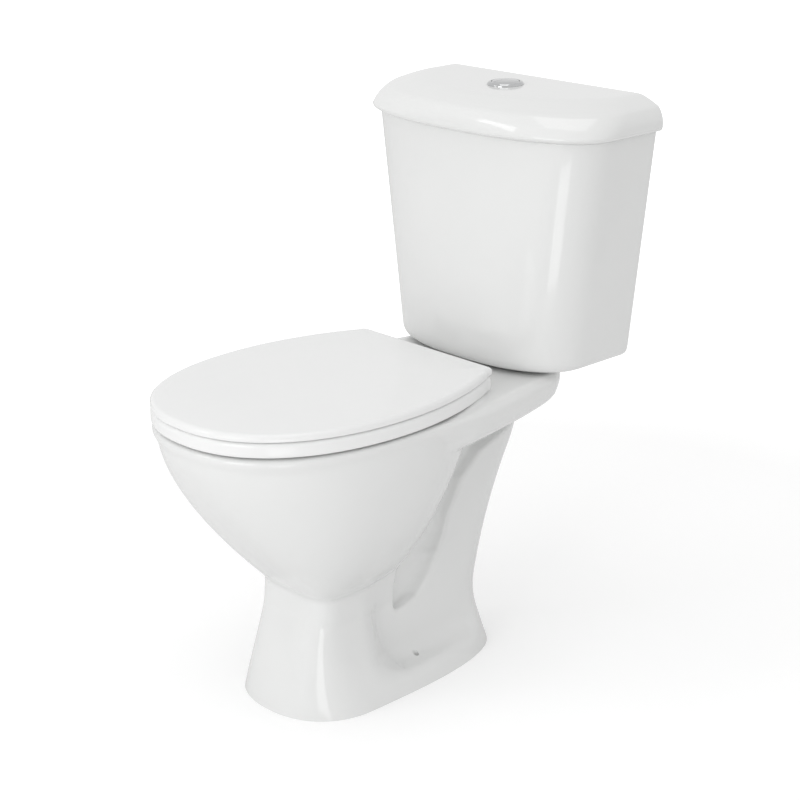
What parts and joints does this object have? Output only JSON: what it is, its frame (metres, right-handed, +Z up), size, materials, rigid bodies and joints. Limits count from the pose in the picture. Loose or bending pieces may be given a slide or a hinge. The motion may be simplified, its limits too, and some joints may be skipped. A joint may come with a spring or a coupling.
{
  "type": "close coupled toilet",
  "caption": "Floor-standing white china toilet with a cistern on its deck, a hinged seat and lid, and a dual-flush push button.",
  "frame": {"origin": "centre of the floor outlet, at floor level", "axes": "+Z up, -Y towards the front of the bowl, +X to the right as seen from in front of the bowl looking at the cistern"},
  "size_m": [0.434, 0.6435, 0.7773],
  "materials": {
    "china": "glossy white glaze",
    "seat_plastic": "glossy white moulding",
    "buffer_plastic": "soft white",
    "white_plastic": "plain white moulding",
    "valve_plastic": "light grey moulding",
    "blue_plastic": "blue moulding",
    "chrome": "polished chrome",
    "steel": "zinc-plated steel",
    "rubber": "black rubber"
  },
  "bodies": {
    "root": {"pan_rim": "china", "pan_bowl": "china", "pan_foot": "china", "cistern": "china", "hinge_posts": "chrome", "hinge_pins": "steel", "seat_bolts": "steel", "seat_washers": "white_plastic", "seat_wing_nuts": "white_plastic", "flush_valve_body": "valve_plastic", "flush_valve_cap": "blue_plastic", "flush_valve_washer": "rubber", "flush_valve_backnut": "white_plastic", "coupling_gasket": "rubber", "coupling_bolts": "steel", "coupling_rubbers": "rubber", "coupling_washers": "steel", "coupling_wing_nuts": "steel", "fill_valve_body": "white_plastic", "fill_valve_head": "white_plastic", "fill_valve_washer": "rubber", "fill_valve_backnut": "white_plastic"},
    "ring": {"seat_ring": "seat_plastic", "ring_buffers": "buffer_plastic"},
    "lid": {"seat_lid": "seat_plastic", "lid_buffers": "buffer_plastic"},
    "tank_lid": {"cistern_lid": "china", "button_bezel": "chrome", "bezel_nut": "white_plastic"},
    "half_button": {"half_flush_button": "chrome", "half_flush_rod": "white_plastic"},
    "full_button": {"full_flush_button": "chrome", "full_flush_rod": "white_plastic"},
    "valve": {"flush_valve_tube": "white_plastic", "flush_valve_seal": "rubber"},
    "float": {"fill_valve_float": "blue_plastic"}
  },
  "joints": [
    {"name": "ring_hinge", "type": "hinge", "parent": "root", "child": "ring", "pos_m": [0, 0.014, 0.4195], "axis": [-1, 0, 0], "range_deg": [0, 94]},
    {"name": "lid_hinge", "type": "hinge", "parent": "ring", "child": "lid", "pos_m": [0, 0.014, 0.4195], "axis": [1, 0, 0], "range_deg": [-94, 0]},
    {"name": "cistern_lid_lift", "type": "slide", "parent": "root", "child": "tank_lid", "axis": [0, 0, 1], "range_m": [0, 0.15]},
    {"name": "half_button_press", "type": "slide", "parent": "tank_lid", "child": "half_button", "axis": [0, 0, -1], "range_m": [0, 0.006], "stiffness_N_per_m": 800, "springref_m": -0.004},
    {"name": "full_button_press", "type": "slide", "parent": "tank_lid", "child": "full_button", "axis": [0, 0, -1], "range_m": [0, 0.006], "stiffness_N_per_m": 800, "springref_m": -0.004},
    {"name": "flush_valve_lift", "type": "slide", "parent": "root", "child": "valve", "axis": [0, 0, 1], "range_m": [0, 0.015]},
    {"name": "float_rise", "type": "slide", "parent": "root", "child": "float", "axis": [0, 0, 1], "range_m": [0, 0.09]}
  ],
  "couplings": [
    {"joint": "flush_valve_lift", "follows": "full_button_press", "ratio": 2.5}
  ]
}
